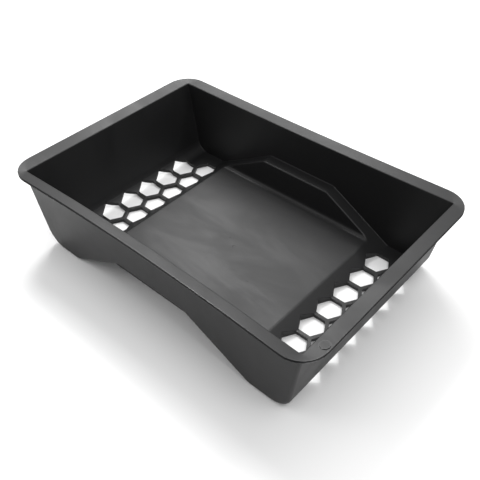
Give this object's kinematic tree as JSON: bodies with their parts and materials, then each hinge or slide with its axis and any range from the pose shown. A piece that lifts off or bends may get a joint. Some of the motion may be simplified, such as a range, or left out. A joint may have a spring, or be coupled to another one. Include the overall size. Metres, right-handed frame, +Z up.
{
  "type": "paint roller tray",
  "caption": "Black moulded tray with a flat flange, a raised middle platform, two drained wells with hexagonal holes, and an arched hand grip under each long side.",
  "frame": {"origin": "on the ground under the middle of the tray", "axes": "+X along the tray's length, +Y across it to the back, +Z up out of the open top"},
  "size_m": [0.381, 0.2529, 0.092],
  "materials": {
    "black_plastic": "satin moulded polypropylene"
  },
  "bodies": {
    "root": {"platform": "black_plastic", "ramp_left": "black_plastic", "well_grille_left": "black_plastic", "end_wall_left": "black_plastic", "rim_left": "black_plastic", "ramp_right": "black_plastic", "well_grille_right": "black_plastic", "end_wall_right": "black_plastic", "rim_right": "black_plastic", "side_wall_front": "black_plastic", "rim_front": "black_plastic", "grip_face_front": "black_plastic", "grip_top_front": "black_plastic", "wall_foot_front_left": "black_plastic", "grip_flank_front_left": "black_plastic", "wall_foot_front_right": "black_plastic", "grip_flank_front_right": "black_plastic", "side_wall_back": "black_plastic", "rim_back": "black_plastic", "grip_face_back": "black_plastic", "grip_top_back": "black_plastic", "wall_foot_back_left": "black_plastic", "grip_flank_back_left": "black_plastic", "wall_foot_back_right": "black_plastic", "grip_flank_back_right": "black_plastic"}
  },
  "joints": []
}
